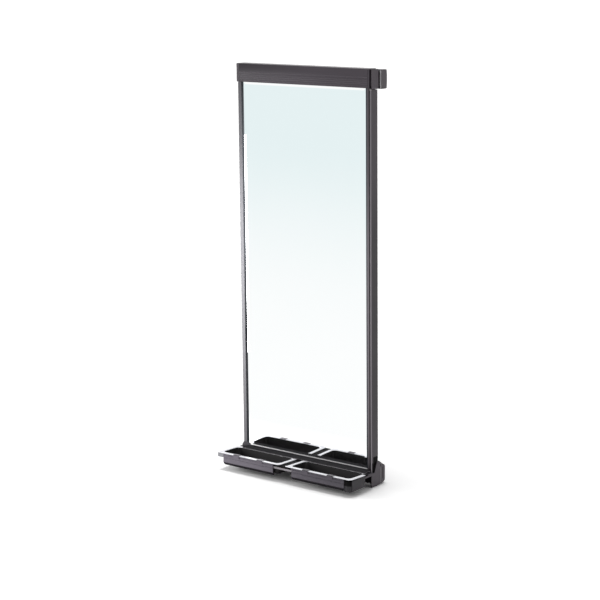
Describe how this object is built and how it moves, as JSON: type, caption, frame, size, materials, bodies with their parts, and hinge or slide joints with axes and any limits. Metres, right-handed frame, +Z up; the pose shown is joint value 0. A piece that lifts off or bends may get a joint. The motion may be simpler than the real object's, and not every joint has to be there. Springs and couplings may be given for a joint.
{
  "type": "pull out closet mirror",
  "caption": "tall framed mirror on telescopic side rails for a wardrobe: it slides out on top and bottom rails, then swings a quarter turn; open accessory trays hang along its lower edge",
  "frame": {"origin": "middle of the bottom rail's back face, on the face that is screwed to the wardrobe's side panel", "axes": "+X is the way the mirror pulls out, +Y points into the wardrobe's side panel, +Z is up"},
  "size_m": [0.516, 0.1997, 1.2583],
  "materials": {
    "frame": "dark mocha grey anodised look, satin",
    "frame_light": "lighter grey anodised aluminium, satin",
    "steel": "zinc plated steel",
    "cap_plastic": "olive grey moulded plastic",
    "black_plastic": "near black moulded plastic",
    "nylon": "natural nylon",
    "mirror_glass": "silvered float glass with polished edges",
    "board": "dark backing sheet",
    "seal": "black glazing strip",
    "rim": "light satin metal rim",
    "tray_panel": "lilac grey metal with fine grooves",
    "felt": "dark felt mat"
  },
  "bodies": {
    "side_rails": {"bottom_rail_housing": "frame", "bottom_rail_left_cap": "cap_plastic", "bottom_outer_slide": "steel", "bottom_slide_rivet_1": "steel", "bottom_slide_rivet_2": "steel", "top_rail_housing": "frame", "top_rail_left_cap": "cap_plastic", "top_outer_slide": "steel", "top_slide_rivet_1": "steel", "top_slide_rivet_2": "steel"},
    "bottom_middle": {"bottom_middle_slide": "steel"},
    "bottom_outer_cage": {"bottom_outer_ball_cage": "nylon"},
    "bottom_inner_cage": {"bottom_inner_ball_cage": "nylon"},
    "top_middle": {"top_middle_slide": "steel"},
    "top_outer_cage": {"top_outer_ball_cage": "nylon"},
    "top_inner_cage": {"top_inner_ball_cage": "nylon"},
    "carriage": {"bottom_inner_slide": "steel", "bottom_carriage_plate": "steel", "bottom_beam": "frame", "bottom_carriage_screw_1": "steel", "bottom_carriage_screw_2": "steel", "top_inner_slide": "steel", "top_carriage_plate": "steel", "top_beam": "frame", "top_carriage_screw_1": "steel", "top_carriage_screw_2": "steel", "top_end_cap": "cap_plastic", "top_bracket": "frame", "top_pivot_pin": "steel", "top_pivot_washer": "nylon", "bottom_bracket": "frame", "bottom_end_cap": "cap_plastic", "bottom_pivot_pin": "steel", "bottom_pivot_washer": "nylon", "catch_magnet": "black_plastic"},
    "mirror_leaf": {"right_stile": "frame", "hinge_block": "black_plastic", "left_stile": "frame_light", "left_foot": "frame", "mirror_glass": "mirror_glass", "left_glass_seal": "seal", "right_glass_seal": "seal", "back_panel": "board", "bottom_sill": "frame_light", "top_cover": "frame", "cover_left_cap": "cap_plastic", "cover_right_cap": "frame", "catch_striker": "steel", "tray_hanger": "frame_light", "tray_frame": "frame_light", "left_tray": "black_plastic", "left_tray_rim": "rim", "left_tray_liner": "felt", "left_tray_panel": "tray_panel", "right_tray": "black_plastic", "right_tray_rim": "rim", "right_tray_liner": "felt", "right_tray_panel": "tray_panel", "tray_side_panel": "tray_panel", "tray_corner_post": "tray_panel"}
  },
  "joints": [
    {"name": "pull_out", "type": "slide", "parent": "side_rails", "child": "carriage", "axis": [1, 0, 0], "range_m": [0, 0.45]},
    {"name": "bottom_middle_travel", "type": "slide", "parent": "side_rails", "child": "bottom_middle", "axis": [1, 0, 0], "range_m": [0, 0.225]},
    {"name": "bottom_outer_cage_travel", "type": "slide", "parent": "side_rails", "child": "bottom_outer_cage", "axis": [1, 0, 0], "range_m": [0, 0.1125]},
    {"name": "bottom_inner_cage_travel", "type": "slide", "parent": "side_rails", "child": "bottom_inner_cage", "axis": [1, 0, 0], "range_m": [0, 0.3375]},
    {"name": "top_middle_travel", "type": "slide", "parent": "side_rails", "child": "top_middle", "axis": [1, 0, 0], "range_m": [0, 0.225]},
    {"name": "top_outer_cage_travel", "type": "slide", "parent": "side_rails", "child": "top_outer_cage", "axis": [1, 0, 0], "range_m": [0, 0.1125]},
    {"name": "top_inner_cage_travel", "type": "slide", "parent": "side_rails", "child": "top_inner_cage", "axis": [1, 0, 0], "range_m": [0, 0.3375]},
    {"name": "mirror_swing", "type": "hinge", "parent": "carriage", "child": "mirror_leaf", "pos_m": [0.247, -0.074, 0.014], "axis": [0, 0, 1], "range_deg": [0, 90]}
  ],
  "couplings": [
    {"joint": "bottom_middle_travel", "follows": "pull_out", "ratio": 0.5},
    {"joint": "bottom_outer_cage_travel", "follows": "pull_out", "ratio": 0.25},
    {"joint": "bottom_inner_cage_travel", "follows": "pull_out", "ratio": 0.75},
    {"joint": "top_middle_travel", "follows": "pull_out", "ratio": 0.5},
    {"joint": "top_outer_cage_travel", "follows": "pull_out", "ratio": 0.25},
    {"joint": "top_inner_cage_travel", "follows": "pull_out", "ratio": 0.75}
  ]
}
